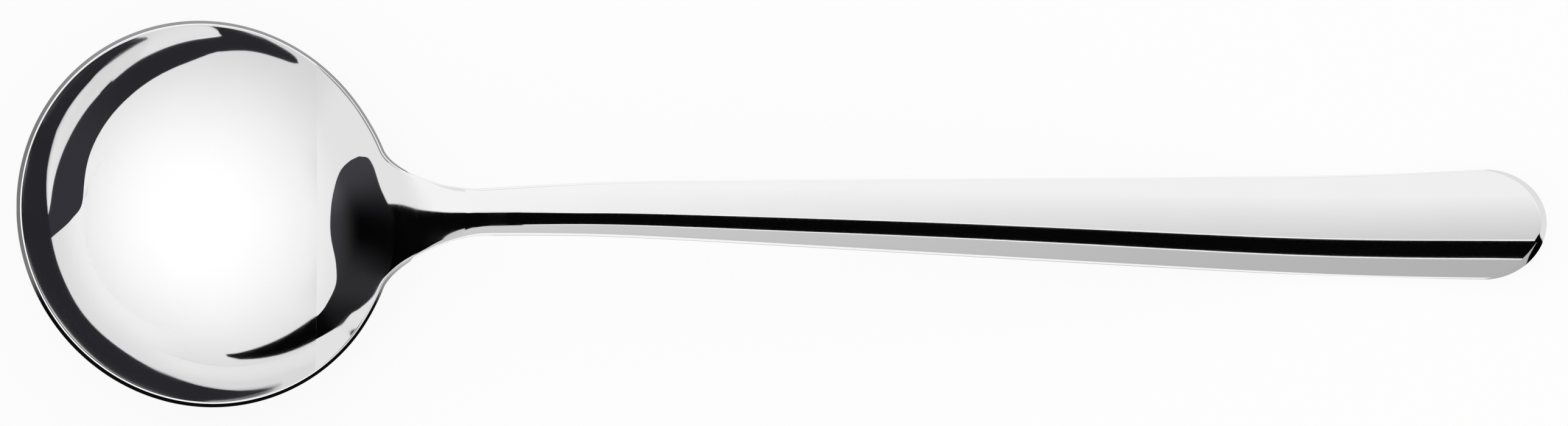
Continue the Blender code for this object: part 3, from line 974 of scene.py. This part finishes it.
def makeEdgeReflectionPaint():  # along the upper side, round the end and back along the lower side
    setup = edgePaintSetup
    along = np.linspace(neckP, tipP - handleShape["endRound"], setup["sideSteps"] + 1)
    turn = np.linspace(0.0, math.pi, setup["endSteps"] + 1)
    sideOut = np.tile([0.0, 1.0], (len(along), 1))
    p = np.concatenate([along, tipP - handleShape["endRound"] * (1 - np.sin(turn)), along[::-1]])
    endQ = handleShape["endWidth"] / 2 * np.cos(turn)
    q = np.concatenate([halfWidth(along), endQ, -halfWidth(along[::-1])])
    outward = np.concatenate([sideOut, endNormals(turn), -sideOut])
    foot = sideHeight(p) - lowerDepth(p) / 2 - setup["below"]
    top = foot + setup["below"] + setup["above"] + (setup["aboveEnd"] - setup["above"]) * outward[:, 0]
    place = np.column_stack([p, q]) + setup["out"] * outward
    still = np.zeros((len(p), 3))
    edges = [onTable(np.column_stack([place, high]), still)[0] for high in (foot, top)]
    side = np.concatenate([np.ones_like(along), np.cos(turn), -np.ones_like(along)])
    share = (p - neckP) / handleShape["length"]
    shades = (setup["upperShades"], setup["lowerShades"])
    upper, lower = (near + (far - near) * share for near, far in shades)
    stripeStart, stripeEnd = setup["stripe"]
    shade = np.where(side > stripeEnd, upper, np.where(side < stripeStart, lower, reflectionPaintSetup["black"]))
    gridBoard("paintedEdgeReflection", between(*edges, 1), shade[:, None], reach=setup["reach"])


makeEdgeReflectionPaint()
print("painted edge reflection set round the handle")

photoView = {
    "elevation": 81.6,
    "roll": 0.11,
    "lens": 400.0,
    "sensor": 36.0,
    "farthest": 100.0,
    "frameWidth": 0.32597,
    "target": (0.11168, -0.00078, 0.026),
}


def makeCamera():
    elevation, roll = math.radians(photoView["elevation"]), math.radians(photoView["roll"])
    back = Vector((0.0, -math.cos(elevation), math.sin(elevation)))
    level = Vector((1.0, 0.0, 0.0))
    upright = Vector((0.0, math.sin(elevation), math.cos(elevation)))
    right = level * math.cos(roll) - upright * math.sin(roll)
    up = level * math.sin(roll) + upright * math.cos(roll)
    distance = photoView["frameWidth"] * photoView["lens"] / photoView["sensor"]
    data = bpy.data.cameras.new("photoCamera")
    data.sensor_fit = "HORIZONTAL"
    data.sensor_width = photoView["sensor"]
    data.lens = photoView["lens"]
    data.clip_end = photoView["farthest"]
    camera = bpy.data.objects.new("photoCamera", data)
    place = Matrix((right, up, back)).transposed().to_4x4()
    place.translation = Vector(photoView["target"]) + back * distance
    camera.matrix_world = place
    bpy.context.scene.collection.objects.link(camera)
    bpy.context.scene.camera = camera


makeCamera()
print("camera placed")

# Brightness of the world for the first reflection, from low to high towards its brightest direction, and for
# later ones towards the bowl's axis. All else sees a plain white.
worldSetup = {
    "colour": (1.0, 1.0, 1.0, 1.0),
    "plain": 1.0,
    "brightest": (0.40, 0.078, 0.913),
    "from": -0.22,
    "to": 1.41,
    "low": 0.71,
    "high": 1.20,
    "laterFrom": 0.92,
    "laterLow": 0.825,
    "laterHigh": 0.99,
}


def mixValues(tree, factor, low, high):
    mix = tree.nodes.new("ShaderNodeMix")
    tree.links.new(factor, mix.inputs["Factor"])
    for key, value in (("A", low), ("B", high)):
        if isinstance(value, bpy.types.NodeSocket):
            tree.links.new(value, mix.inputs[key])
        else:
            mix.inputs[key].default_value = value
    return mix.outputs["Result"]


def makeWorld():
    world = bpy.data.worlds.new("studio")
    bpy.context.scene.world = world
    world.use_nodes = True
    tree = world.node_tree
    sky = tree.nodes.new("ShaderNodeTexCoord").outputs["Generated"]
    facing = addNode(tree, "ShaderNodeVectorMath", "DOT_PRODUCT", sky, worldSetup["brightest"])
    soft = tree.nodes.new("ShaderNodeMapRange")
    soft.interpolation_type = "SMOOTHSTEP"
    for socket, key in (("From Min", "from"), ("From Max", "to"), ("To Min", "low"), ("To Max", "high")):
        soft.inputs[socket].default_value = worldSetup[key]
    tree.links.new(facing.outputs["Value"], soft.inputs["Value"])
    path = tree.nodes.new("ShaderNodeLightPath")
    order = addNode(tree, "ShaderNodeMath", "GREATER_THAN", path.outputs["Glossy Depth"], laterThan)
    above = addNode(tree, "ShaderNodeVectorMath", "DOT_PRODUCT", sky, tuple(turnToTable[:, 2]))
    later = tree.nodes.new("ShaderNodeMapRange")
    for socket, key in (("From Min", "laterFrom"), ("To Min", "laterLow"), ("To Max", "laterHigh")):
        later.inputs[socket].default_value = worldSetup[key]
    tree.links.new(above.outputs["Value"], later.inputs["Value"])
    reflected = mixValues(tree, order.outputs[0], soft.outputs[0], later.outputs[0])
    level = mixValues(tree, path.outputs["Is Glossy Ray"], worldSetup["plain"], reflected)
    background = tree.nodes["Background"]
    background.inputs["Color"].default_value = worldSetup["colour"]
    tree.links.new(level, background.inputs["Strength"])


makeWorld()
bpy.context.scene.view_settings.view_transform = "Standard"
print("world lit")
